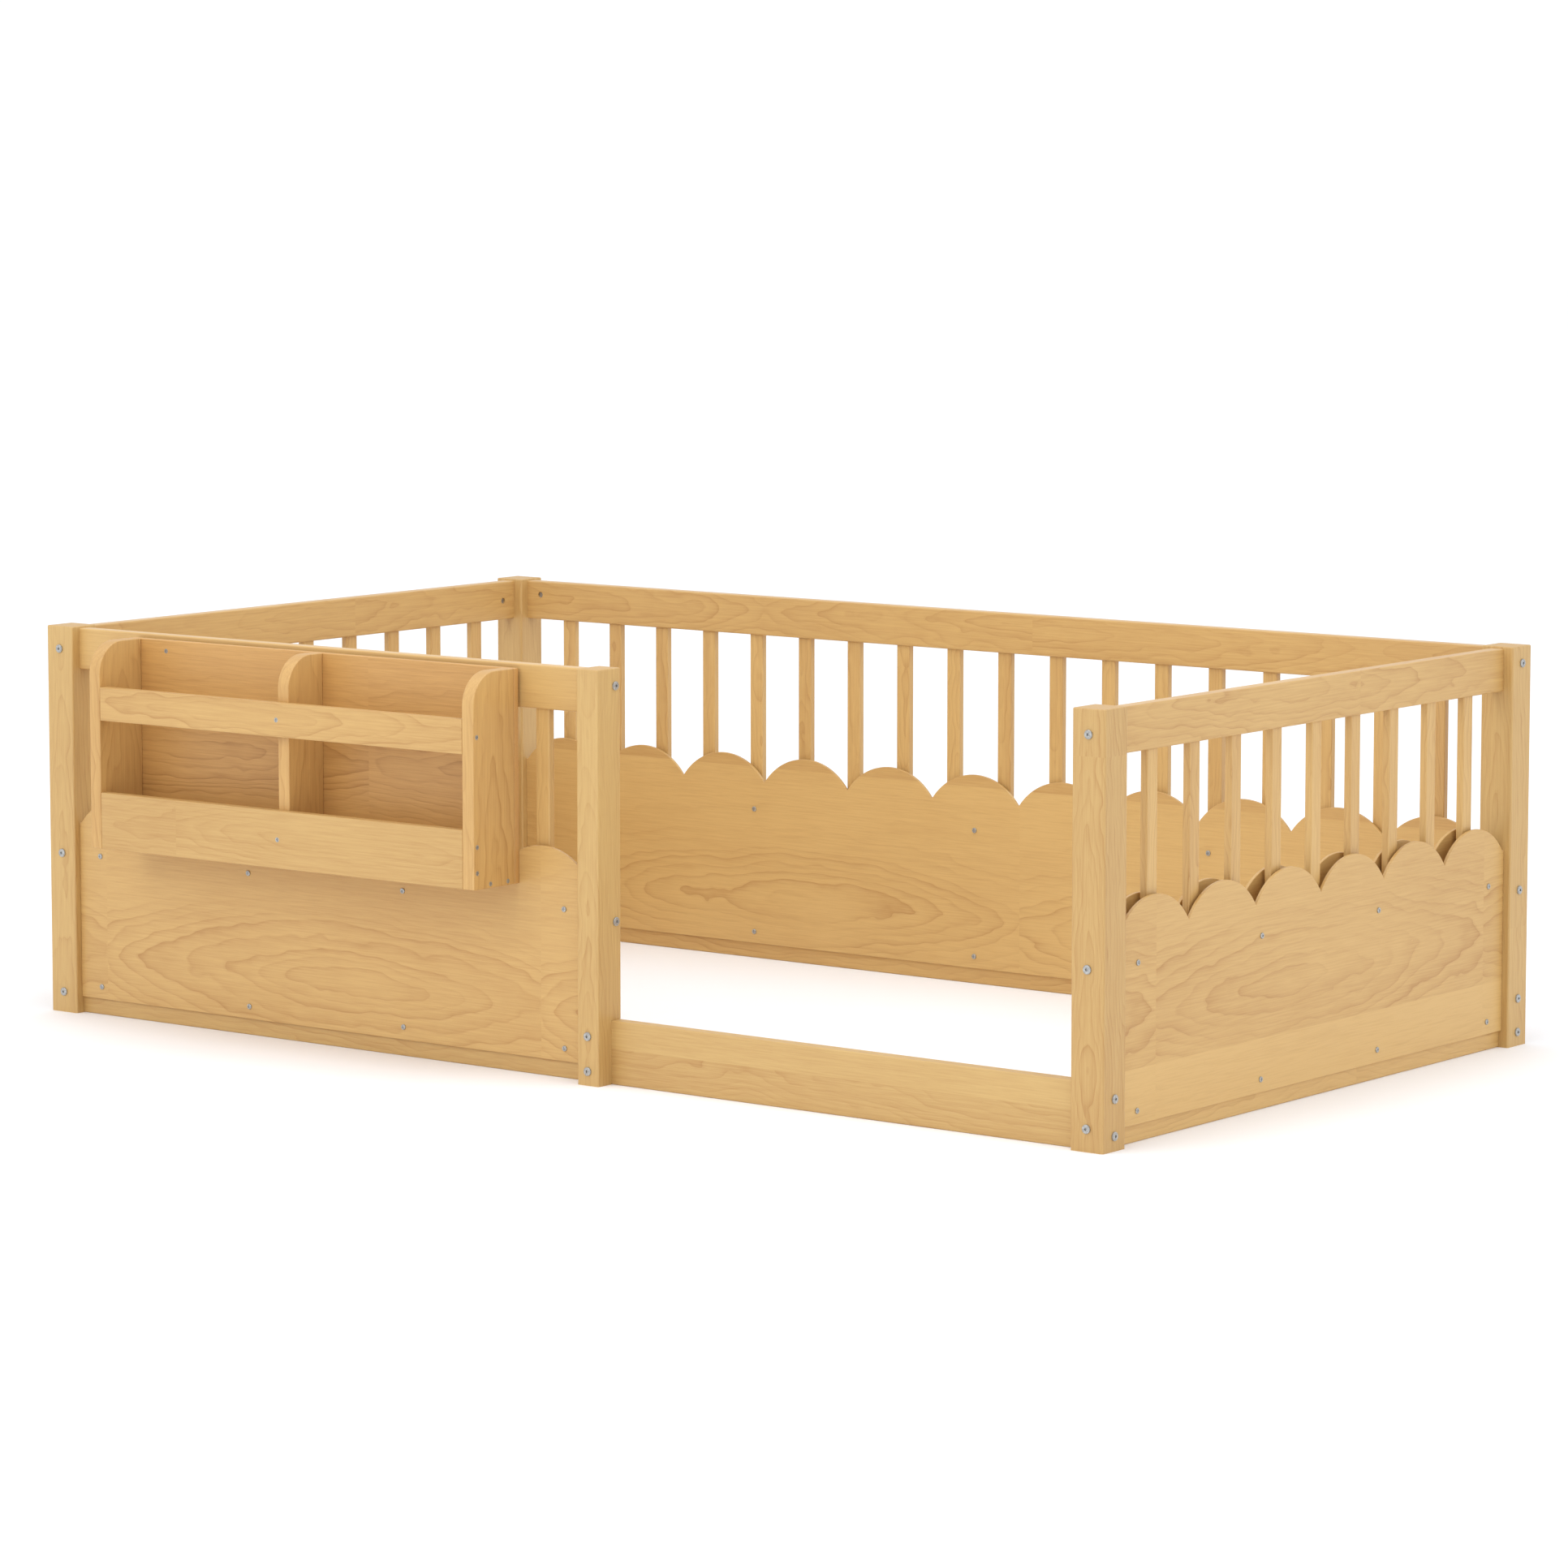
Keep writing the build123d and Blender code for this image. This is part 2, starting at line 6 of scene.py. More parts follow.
import bpy
from bpy.props import (
    FloatProperty,
    FloatVectorProperty,
    IntProperty,
    PointerProperty,
)
from bpy.types import Operator, Panel, PropertyGroup
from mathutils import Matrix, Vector


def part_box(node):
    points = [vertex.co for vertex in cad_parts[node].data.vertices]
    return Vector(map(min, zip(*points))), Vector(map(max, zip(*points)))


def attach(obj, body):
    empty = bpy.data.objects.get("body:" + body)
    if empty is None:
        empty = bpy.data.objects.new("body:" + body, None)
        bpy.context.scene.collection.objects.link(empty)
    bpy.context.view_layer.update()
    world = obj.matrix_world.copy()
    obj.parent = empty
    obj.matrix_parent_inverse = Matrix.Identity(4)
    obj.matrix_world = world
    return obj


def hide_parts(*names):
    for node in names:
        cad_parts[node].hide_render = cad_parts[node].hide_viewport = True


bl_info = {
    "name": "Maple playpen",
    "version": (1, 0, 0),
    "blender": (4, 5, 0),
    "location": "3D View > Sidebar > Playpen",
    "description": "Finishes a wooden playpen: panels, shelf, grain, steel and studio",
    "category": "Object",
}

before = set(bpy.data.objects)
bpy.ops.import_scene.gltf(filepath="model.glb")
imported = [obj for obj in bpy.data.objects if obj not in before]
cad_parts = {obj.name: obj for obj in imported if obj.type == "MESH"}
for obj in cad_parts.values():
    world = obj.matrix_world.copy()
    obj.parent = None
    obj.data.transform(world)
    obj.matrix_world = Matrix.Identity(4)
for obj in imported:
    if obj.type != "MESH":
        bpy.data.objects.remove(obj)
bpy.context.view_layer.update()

BODY = "root"
X, Y, Z = 0, 1, 2
MM = 0.001

# how near two lengths have to be to count as the same
SAME = 1e-5
NOTCH_ROOM = 2e-5
CLOSE = 1e-4
# neighbouring lobes join where their points are this near
JOIN = 3e-4
# bends flatter than this are taken out of a panel's outline
FLAT = math.radians(0.4)

CORNER_STEPS = 24           # facets of a round shelf corner
SEAT_STEPS = 48             # facets round a screw seat
SEAT_OVER = 0.5 * MM        # how far the cutter of a seat stands out of its board
SEAT_PLAY = 0.05 * MM       # room round a screw head
FIRST_BAR = 0.6             # share of a bar's pitch that holds only that bar

STAVE = -0.892              # how far the panels' grain moves on at a glue line

FLOOR_SIZE = 60.0
FLOOR_SQUARES = 8
SENSOR = 36.0
SKY_TINT = (1.0, 1.03, 1.085, 1.0)
LAMPS_AIM = Vector((0, 0, 0.3))
# name, place, size and share of the key light's power
LAMPS = (
    ("soft key", (-1.5, -9.0, 6.0), 6.0, 1.0),
    ("soft fill", (9.0, 1.5, 5.0), 5.0, 0.45),
    ("soft top", (0.4, -0.6, 3.0), 1.8, 0.09),
)

# a glue line across an axis: the grain beyond it is shifted and its tone changed
Glue = namedtuple("Glue", "axis at shift tone")


# ---------------------------------------------------------------------------
# sizes and colours that a maker would change
# ---------------------------------------------------------------------------
class PlaypenWood(PropertyGroup):
    """The colours, grain and finish of the maple."""
    pale: FloatVectorProperty(
        name="Pale wood", description="Colour of the wood between the growth rings",
        subtype="COLOR", size=3, min=0, max=1, default=(0.625, 0.394, 0.139))
    # painted warm bounce light: boards that lie in shade are blended towards this
    # colour, and a share below nought paints lit faces paler
    amber: FloatVectorProperty(
        name="Amber wood", description="Colour of the warmest boards",
        subtype="COLOR", size=3, min=0, max=1, default=(0.700, 0.372, 0.108))
    deep: FloatVectorProperty(
        name="Ring line", description="Colour of the late wood in the growth rings",
        subtype="COLOR", size=3, min=0, max=1, default=(0.370, 0.168, 0.040))
    ring: FloatProperty(
        name="Ring spacing", description="Distance between growth rings",
        unit="LENGTH", min=0.002, max=0.03, default=0.0075)
    line: FloatProperty(
        name="Ring strength", description="How dark the ring lines are",
        subtype="FACTOR", min=0, max=1, default=0.56)
    fibre: FloatProperty(
        name="Fibre strength", description="How strong the fine streaks are",
        subtype="FACTOR", min=0, max=1, default=0.60)
    cloud: FloatProperty(
        name="Cloud strength", description="How strong the broad tone changes are",
        subtype="FACTOR", min=0, max=1, default=0.34)
    roughness: FloatProperty(
        name="Roughness", description="Roughness of the clear satin finish",
        subtype="FACTOR", min=0.05, max=1, default=0.46)
    coat: FloatProperty(
        name="Lacquer", description="Weight of the clear lacquer",
        subtype="FACTOR", min=0, max=1, default=0.12)


class PlaypenSteel(PropertyGroup):
    """The finish of the bolts, nuts and screws."""
    bright: FloatVectorProperty(
        name="Zinc", description="Colour of the plated steel",
        subtype="COLOR", size=3, min=0, max=1, default=(0.49, 0.485, 0.46))
    dull: FloatVectorProperty(
        name="Dull zinc", description="Colour of the duller patches",
        subtype="COLOR", size=3, min=0, max=1, default=(0.34, 0.335, 0.32))
    roughness: FloatProperty(
        name="Roughness", description="Roughness of the plating",
        subtype="FACTOR", min=0.05, max=1, default=0.42)


class PlaypenSizes(PropertyGroup):
    """Sizes of the worked edges."""
    lobe_low: FloatProperty(
        name="Notch height", description="Height of the notches between the lobes",
        unit="LENGTH", min=0.2, max=0.5, default=0.299)
    shoulder: FloatProperty(
        name="Shoulder",
        description="How far a panel's outer corners stand over the notches",
        unit="LENGTH", min=0, max=0.02, default=0.0055)
    lobe_steps: IntProperty(
        name="Lobe facets", description="Facets round a full circle of lobe radius",
        min=24, max=256, default=128)
    lobes_side: IntProperty(
        name="Side lobes", description="Lobes on a panel of one bay",
        min=2, max=12, default=6)
    lobes_back: IntProperty(
        name="Back lobes", description="Lobes on the back panel",
        min=2, max=24, default=11)
    panel_round: FloatProperty(
        name="Panel edge", description="Rounding of the panels' edges",
        unit="LENGTH", min=0.0002, max=0.002, default=0.0012)
    board_round: FloatProperty(
        name="Board edge", description="Rounding of the shelf boards' edges",
        unit="LENGTH", min=0.0005, max=0.004, default=0.0016)
    seat_depth: FloatProperty(
        name="Seat depth", description="Depth of the countersunk screw heads",
        unit="LENGTH", min=0.001, max=0.004, default=0.0024)
    seat_hole: FloatProperty(
        name="Seat hole", description="Radius of the hole under a screw head",
        unit="LENGTH", min=0.001, max=0.003, default=0.0018)
    corner_round: FloatProperty(
        name="Shelf corner",
        description="Rounding of the upper front corners of the shelf",
        unit="LENGTH", min=0.01, max=0.09, default=0.050)


class PlaypenStudio(PropertyGroup):
    """Floor, light and camera."""
    floor: FloatVectorProperty(
        name="Floor", description="Colour of the floor",
        subtype="COLOR", size=3, min=0, max=1, default=(0.98, 0.98, 0.98))
    sky: FloatProperty(
        name="Sky strength", description="Strength of the even studio light",
        min=0, max=5, default=1.04)
    key: FloatProperty(
        name="Key light", description="Power of the large soft light in front",
        unit="POWER", min=0, max=2000, default=220)
    lens: FloatProperty(
        name="Lens", description="Focal length on a 36 mm sensor",
        min=20, max=300, default=129.65)
    camera_at: FloatVectorProperty(
        name="Camera place", description="Where the camera stands",
        subtype="TRANSLATION", size=3, default=(5.3204, -6.8633, 1.4534))
    camera_turn: FloatVectorProperty(
        name="Camera turn", description="Pitch and turn of the camera",
        subtype="EULER", size=3,
        default=(math.radians(83.783), 0.0, math.radians(37.519)))
    camera_rise: FloatProperty(
        name="Camera rise", description="Vertical shift of the lens",
        min=-0.2, max=0.2, default=-0.0497)


# ---------------------------------------------------------------------------
# shader maths as plain expressions
# ---------------------------------------------------------------------------
class Value:
    """A socket whose number can be added, multiplied and compared."""

    def __init__(self, shader, socket):
        self.shader = shader
        self.socket = socket

    def maths(self, operation, *others, clamp=False):
        """One Math node on this value and up to two others."""
        inputs = dict(enumerate((self,) + others))
        settings = {"operation": operation, "use_clamp": clamp}
        return self.shader.node("ShaderNodeMath", settings, inputs)

    def flipped(self, operation, other):
        """The same with the other value first."""
        inputs = {0: other, 1: self}
        return self.shader.node("ShaderNodeMath", {"operation": operation}, inputs)

    def __add__(self, other):
        return self.maths("ADD", other)

    def __radd__(self, other):
        return self.flipped("ADD", other)

    def __sub__(self, other):
        return self.maths("SUBTRACT", other)

    def __rsub__(self, other):
        return self.flipped("SUBTRACT", other)

    def __mul__(self, other):
        return self.maths("MULTIPLY", other)

    def __rmul__(self, other):
        return self.flipped("MULTIPLY", other)

    def __truediv__(self, other):
        return self.maths("DIVIDE", other)

    def __pow__(self, other):
        return self.maths("POWER", other)

    def __gt__(self, other):
        return self.maths("GREATER_THAN", other)

    def clamped(self):
        """The value kept between nought and one."""
        return self.maths("ADD", 0.0, clamp=True)

    def part(self):
        """The part after the decimal point."""
        return self.maths("FRACT")

    def whole(self):
        """The part before the decimal point."""
        return self.maths("FLOOR")

    def size(self):
        """The value without its sign."""
        return self.maths("ABSOLUTE")

    def swing(self, width):
        """Noise of nought to one, moved to swing about nought over a width."""
        return (self - 0.5) * width

    def at_least(self, floor):
        """The value of nought to one, squeezed to run from floor to one."""
        return self * (1.0 - floor) + floor


class Shader:
    """A material's node tree, built from values."""

    def __init__(self, name):
        self.material = bpy.data.materials.new(name)
        self.material.use_nodes = True
        self.tree = self.material.node_tree
        self.tree.nodes.clear()

    def node(self, kind, settings=None, inputs=None, out=0):
        """A node of one type: its settings first, then its inputs' values or links."""
        made = self.tree.nodes.new(kind)
        for name, value in (settings or {}).items():
            setattr(made, name, value)
        for key, value in (inputs or {}).items():
            if isinstance(value, Value):
                self.tree.links.new(value.socket, made.inputs[key])
            else:
                made.inputs[key].default_value = value
        if isinstance(out, tuple):
            return [Value(self, made.outputs[o]) for o in out]
        return Value(self, made.outputs[out]) if len(made.outputs) else None

    def vector(self, x, y, z):
        """Three values as one vector."""
        return self.node("ShaderNodeCombineXYZ", None, {0: x, 1: y, 2: z})

    def noise(self, place, detail=0.0, roughness=0.5, scale=1.0):
        """Smooth noise at a place."""
        inputs = {"Vector": place, "Scale": scale, "Detail": detail,
                  "Roughness": roughness}
        return self.node("ShaderNodeTexNoise", {"noise_dimensions": "3D"}, inputs)

    def smooth(self, value, low, high):
        """Nought below low, one above high, and an even rise between."""
        inputs = {"Value": value, "From Min": low, "From Max": high}
        return self.node("ShaderNodeMapRange",
                         {"interpolation_type": "SMOOTHSTEP"}, inputs)

    def blend(self, factor, a, b):
        """Colour a to colour b."""
        inputs = {0: factor, 6: colour(a), 7: colour(b)}
        return self.node("ShaderNodeMix", {"data_type": "RGBA"}, inputs, out=2)

    def finish(self, inputs):
        """The surface shader with its inputs."""
        surface = self.node("ShaderNodeBsdfPrincipled", None, inputs)
        self.node("ShaderNodeOutputMaterial", None, {"Surface": surface})
        return self.material


def colour(value):
    """A colour with its alpha, or a value as it is."""
    if isinstance(value, Value):
        return value
    return (*value[:3], 1.0)


# ---------------------------------------------------------------------------
# materials
# ---------------------------------------------------------------------------
class Maple:
    """Fixed numbers of the maple's figure: metres, rates per metre and shares."""
    SEED_STEP = 3.17                # from the noise of one seed to the next one's
    BEND_RATE = 1.15                # how often the rings' heart rises and sinks
    DRIFT_RATE = 0.8                # how often it strays to the side
    SPACING_RATE = 26.0             # how often the ring spacing changes
    # rate along the grain, rate across it, detail, and the way a seed moves it
    NOISE = {
        "wave": (6.0, 15.0, 3.0, "across"),
        "curl": (17.0, 34.0, 1.0, "along"),
        "bold": (2.2, 8.0, 1.0, "along"),
        "fibre": (13.0, 440.0, 2.0, None),
        "streak": (3.0, 95.0, 1.0, "along"),
        "fleck": (70.0, 900.0, 0.0, None),
        "cloud": (2.5, 7.0, 3.0, "across"),
        "figure": (26.0, 9.0, 1.0, "across"),
    }
    FIBRE_ROUGHNESS = 0.6

    # bars of one board: how a bar's lot is drawn and what it changes
    LOT_STEP, LOT_START = 0.7548, 0.13
    BAR_ALONG, BAR_ACROSS, BAR_TONES = 0.83, 0.03, 0.22

    # rings
    LOOP_HALF = 0.62                # from a loop's eye to the turn to the next loop
    LOOP_BLUNT = 0.15               # length of a loop's blunt end
    ROUNDNESS = 1.5                 # 1 makes the rings diamonds, 2 circles
    WAVE_STRAY, CURL_STRAY, SPACING_STRAY = 0.032, 0.012, 0.030
    LATE_POWER, LATE_SHARE = 6.0, 0.66
    EARLY_END, EARLY_DROP = 0.12, 0.4
    WEIGHT_STEP, LEAST_WEIGHT = 0.618, 0.35
    BOLD_FROM, BOLD_TO, LEAST_BOLD = 0.25, 0.62, 0.2
    STRAIGHT_FROM, STRAIGHT_TO, STRAIGHT_FADE = 0.055, 0.13, 0.78
    LEAST_INNER = 0.30              # strength of the rings at a loop's very eye

    # shares of each kind in the tone
    SPECK_FROM, SPECK_TO = 0.62, 0.74
    FIGURE_TONE, STREAK_TONE, SPECK_TONE, BASE_TONE = 0.06, 0.16, 0.05, 0.20

    # sawn ends
    END_FROM, END_TO = 0.72, 0.95   # how squarely a face looks along the grain
    END_RING, END_STRAY = 0.0024, 0.004
    END_DARK, END_SHARE = 0.30, 0.8

    # surface
    FIBRE_ROUGH, RING_ROUGH, END_ROUGH = 0.12, 0.06, 0.14
    FIBRE_HEIGHT, RING_HEIGHT, SPECK_HEIGHT = 0.5, -0.35, -0.5


def wood(name, along, across, centre, seed, taper, ring, eye=0.0, heart=0.0,
         hollow=0.008, arch=0.03, wander=0.04, strength=1.0, tone=0.0, amber=0.0,
         cuts=(), bars=None):
    """Clear-finished maple.

    along and across are the axes of the grain and of the face's width, centre the
    piece's middle. The growth rings close into loops at eye along the grain and
    heart across it, and open out beyond at taper. hollow and arch set how deep under
    the face their centre lies, wander lets it stray, ring scales their spacing and
    strength is how clearly they show. cuts are glue lines. bars is an axis, a pitch
    and a start where the same board is repeated. tone darkens the wood. On some
    shaded pieces tone is set below nought, which paints light into them.
    amber blends towards a warm colour: painted warm bounce light on shaded
    boards, and below nought painted paleness on lit faces.
    """
    look = bpy.context.scene.playpen_wood
    # blend towards the warm colour: painted bounce light on shaded boards, or painted
    # paleness on lit faces where the share is below nought
    pale = [a + (b - a) * amber for a, b in zip(look.pale, look.amber)]
    s = Shader(name)
    place = s.node("ShaderNodeTexCoord", out=3)
    xyz = s.node("ShaderNodeSeparateXYZ", None, {0: place}, out=(0, 1, 2))
    under = 3 - along - across
    u = xyz[along] - centre[along]
    v = xyz[across] - centre[across]
    w = xyz[under] - centre[under]
    shade = tone
    for axis, at, shift, change in cuts:
        beyond = xyz[axis] > at
        if axis == along:
            u = u + beyond * shift
        else:
            v = v + beyond * shift
        shade = beyond * change + shade
    if bars:
        axis, pitch, start = bars
        number = ((xyz[axis] - start) / pitch).whole()
        lot = (number * Maple.LOT_STEP + Maple.LOT_START).part()
        u = u + number * Maple.BAR_ALONG
        if axis == across:
            v = v - number * pitch + lot.swing(Maple.BAR_ACROSS)
        else:
            w = w - number * pitch
        shade = lot.swing(Maple.BAR_TONES) + shade
    base = seed * Maple.SEED_STEP

    def drawn_out(kind, width=v, roughness=0.5):
        """One kind of noise, drawn out along the grain."""
        rate_along, rate_across, detail, moved = Maple.NOISE[kind]
        first = u * rate_along
        if moved == "along":
            first = first + base
        second = width * rate_across
        if moved == "across":
            second = second + base
        return s.noise(s.vector(first, second, w * rate_across), detail, roughness)

    # growth rings round a wandering heart
    bend = s.noise(s.vector(u * Maple.BEND_RATE + base, base, 0.0), detail=1.0)
    drift = s.noise(s.vector(u * Maple.DRIFT_RATE + base, 0.0, base))
    wave = drawn_out("wave")
    curl = drawn_out("curl")
    off = (u - eye).maths("PINGPONG", Maple.LOOP_HALF)
    blunt = Maple.LOOP_BLUNT
    opening = ((off * off + blunt * blunt).maths("SQRT") - blunt) * taper
    deep = bend * arch + opening + hollow
    side = v - heart - drift.swing(wander)
    power = Maple.ROUNDNESS
    reach = (side.size() ** power + (w + deep).size() ** power) ** (1 / power)
    years = s.noise(s.vector(reach * Maple.SPACING_RATE, base, 0.0), detail=1.0)
    stray = (wave.swing(Maple.WAVE_STRAY) + curl.swing(Maple.CURL_STRAY)
             + years.swing(Maple.SPACING_STRAY))
    spacing = look.ring * ring
    rings = (reach + stray) / spacing + base
    turn = rings.part()
    late = (turn ** Maple.LATE_POWER * Maple.LATE_SHARE
            + turn * (1.0 - Maple.LATE_SHARE)
            + s.smooth(turn, 0.0, Maple.EARLY_END) * -Maple.EARLY_DROP
            + Maple.EARLY_DROP)

    # some rings are fainter, and all fade in straight grain and at a loop's eye
    weight = (rings.whole() * Maple.WEIGHT_STEP).part().at_least(Maple.LEAST_WEIGHT)
    bold = s.smooth(drawn_out("bold"), Maple.BOLD_FROM, Maple.BOLD_TO)
    straight = s.smooth(side.size(), Maple.STRAIGHT_FROM, Maple.STRAIGHT_TO)
    loop = reach - (w + bend * arch + hollow).size()
    inner = s.smooth(loop, 0.0, spacing)
    line = late * weight * bold.at_least(Maple.LEAST_BOLD)
    line = line * (1.0 - straight * Maple.STRAIGHT_FADE)
    line = line * inner.at_least(Maple.LEAST_INNER)

    # fine fibres, flecks and broad clouds
    fibre = drawn_out("fibre", roughness=Maple.FIBRE_ROUGHNESS)
    specks = s.smooth(drawn_out("fleck"), Maple.SPECK_FROM, Maple.SPECK_TO)
    mark = line * look.line * strength
    mark = mark + fibre.swing(look.fibre)
    mark = mark + drawn_out("cloud").swing(look.cloud)
    mark = mark + drawn_out("figure").swing(Maple.FIGURE_TONE)
    mark = mark + drawn_out("streak", side).swing(Maple.STREAK_TONE)
    mark = mark + specks * Maple.SPECK_TONE
    mark = (mark + shade + Maple.BASE_TONE).clamped()
    body = s.blend(mark, pale, look.deep)

    # sawn ends are darker and drink more finish
    normal = s.node("ShaderNodeNewGeometry", out=1)
    facing = s.node("ShaderNodeSeparateXYZ", None, {0: normal}, out=(0, 1, 2))[along]
    end = s.smooth(facing.size(), Maple.END_FROM, Maple.END_TO)
    arcs = ((reach + wave.swing(Maple.END_STRAY)) / Maple.END_RING).part() ** 2.0
    sawn = s.blend(arcs * Maple.END_DARK + Maple.END_DARK, pale, look.deep)
    body = s.blend(end * Maple.END_SHARE, body, sawn)

    rough = (fibre.swing(Maple.FIBRE_ROUGH) + line * Maple.RING_ROUGH
             + end * Maple.END_ROUGH + look.roughness)
    height = (fibre * Maple.FIBRE_HEIGHT + line * Maple.RING_HEIGHT
              + specks * Maple.SPECK_HEIGHT)
    bump = s.node("ShaderNodeBump", None,
                  {"Strength": 0.10, "Distance": 0.0006, "Height": height})
    return s.finish({
        "Base Color": body,
        "Roughness": rough,
        "Normal": bump,
        "Coat Weight": look.coat,
        "Coat Roughness": 0.34,
        "IOR": 1.48,
    })


def maple(node, along, across, seed, **looks):
    """The maple of one frame piece, named after it and drawn from its middle."""
    return wood("maple " + node.replace("_", " "), along, across, middle(node), seed,
                **looks)


def steel(name):
    """Dull zinc-plated steel with fine turning marks and spots."""
    look = bpy.context.scene.playpen_steel
    s = Shader(name)
    place = s.node("ShaderNodeTexCoord", out=3)
    spots = s.noise(place, detail=3.0, scale=420.0)
    marks = s.noise(place, detail=1.0, scale=2600.0)
    patch = s.smooth(spots, 0.35, 0.68)
    tint = s.blend(patch, look.dull, look.bright)
    rough = marks.swing(0.16) + patch * -0.08 + look.roughness
    bump = s.node("ShaderNodeBump", None,
                  {"Strength": 0.12, "Distance": 0.0002, "Height": marks})
    return s.finish({"Base Color": tint, "Roughness": rough, "Metallic": 0.70,
                     "Normal": bump})


def floor_paint(name):
    """A plain pale floor with a barely uneven surface."""
    look = bpy.context.scene.playpen_studio
    s = Shader(name)
    place = s.node("ShaderNodeTexCoord", out=3)
    grain = s.noise(place, detail=2.0, scale=3.0)
    darker = [c * 0.99 for c in look.floor]
    tint = s.blend(s.smooth(grain, 0.3, 0.7), darker, look.floor)
    return s.finish({"Base Color": tint, "Roughness": 0.9})


# ---------------------------------------------------------------------------
# modelling helpers
# ---------------------------------------------------------------------------
def clear_selection():
    """Leave edit mode and select nothing."""
    if bpy.context.mode != "OBJECT":
        bpy.ops.object.mode_set(mode="OBJECT")
    bpy.ops.object.select_all(action="DESELECT")


def edges_where(test):
    """Select the edges of the object in edit mode whose two ends pass a test."""
    bpy.ops.mesh.select_all(action="DESELECT")
    bpy.ops.mesh.select_mode(type="EDGE")
    bpy.ops.object.mode_set(mode="OBJECT")
    data = bpy.context.object.data
    for edge in data.edges:
        ends = [data.vertices[i].co for i in edge.vertices]
        edge.select = all(test(e) for e in ends)
    bpy.ops.object.mode_set(mode="EDIT")


def points_where(test):
    """Select the points of the object in edit mode that pass a test."""
    bpy.ops.mesh.select_all(action="DESELECT")
    bpy.ops.mesh.select_mode(type="VERT")
    bpy.ops.object.mode_set(mode="OBJECT")
    for point in bpy.context.object.data.vertices:
        point.select = test(point.co)
    bpy.ops.object.mode_set(mode="EDIT")


def near(a, b, room=SAME):
    """True where two lengths are the same."""
    return abs(a - b) < room


def apply_modifier(kind, name, **settings):
    """Add a modifier to the active object and apply it."""
    made = bpy.context.object.modifiers.new(name, kind)
    for key, value in settings.items():
        setattr(made, key, value)
    bpy.ops.object.modifier_apply(modifier=made.name)


def ease_edges(width, segments=3):
    """Round every sharp edge of the active object."""
    apply_modifier("BEVEL", "eased edges", width=width, segments=segments,
                   limit_method="ANGLE", angle_limit=math.radians(40),
                   harden_normals=False, use_clamp_overlap=True)


def settle(name, node, finish):
    """Put the active object's place in its mesh, name it and hand it over."""
    piece = bpy.context.object
    bpy.ops.object.transform_apply(location=True, rotation=True, scale=True)
    bpy.ops.object.shade_smooth_by_angle(angle=math.radians(30))
    apply_modifier("WEIGHTED_NORMAL", "flat faces", keep_sharp=True, weight=90)
    piece.name = name
    piece.data.name = name
    piece.data.materials.clear()
    piece.data.materials.append(finish)
    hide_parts(node)
    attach(piece, BODY)
    clear_selection()


def middle(node):
    """The middle of a frame piece."""
    low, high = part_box(node)
    return (low + high) / 2


def span(node, axis):
    """Where a frame piece starts and ends along an axis."""
    low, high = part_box(node)
    return low[axis], high[axis]


def refinish(node, finish):
    """Give a frame piece a better material."""
    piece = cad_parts[node]
    if not piece.data.materials:
        piece.data.materials.append(finish)
    for place in piece.material_slots:
        place.material = finish


def add_block(low, high):
    """A block between two corners, in edit mode with all selected."""
    clear_selection()
    bpy.ops.mesh.primitive_cube_add(size=1.0, location=(low + high) / 2)
    bpy.context.object.scale = high - low
    bpy.ops.object.transform_apply(location=True, rotation=True, scale=True)
    bpy.ops.object.mode_set(mode="EDIT")


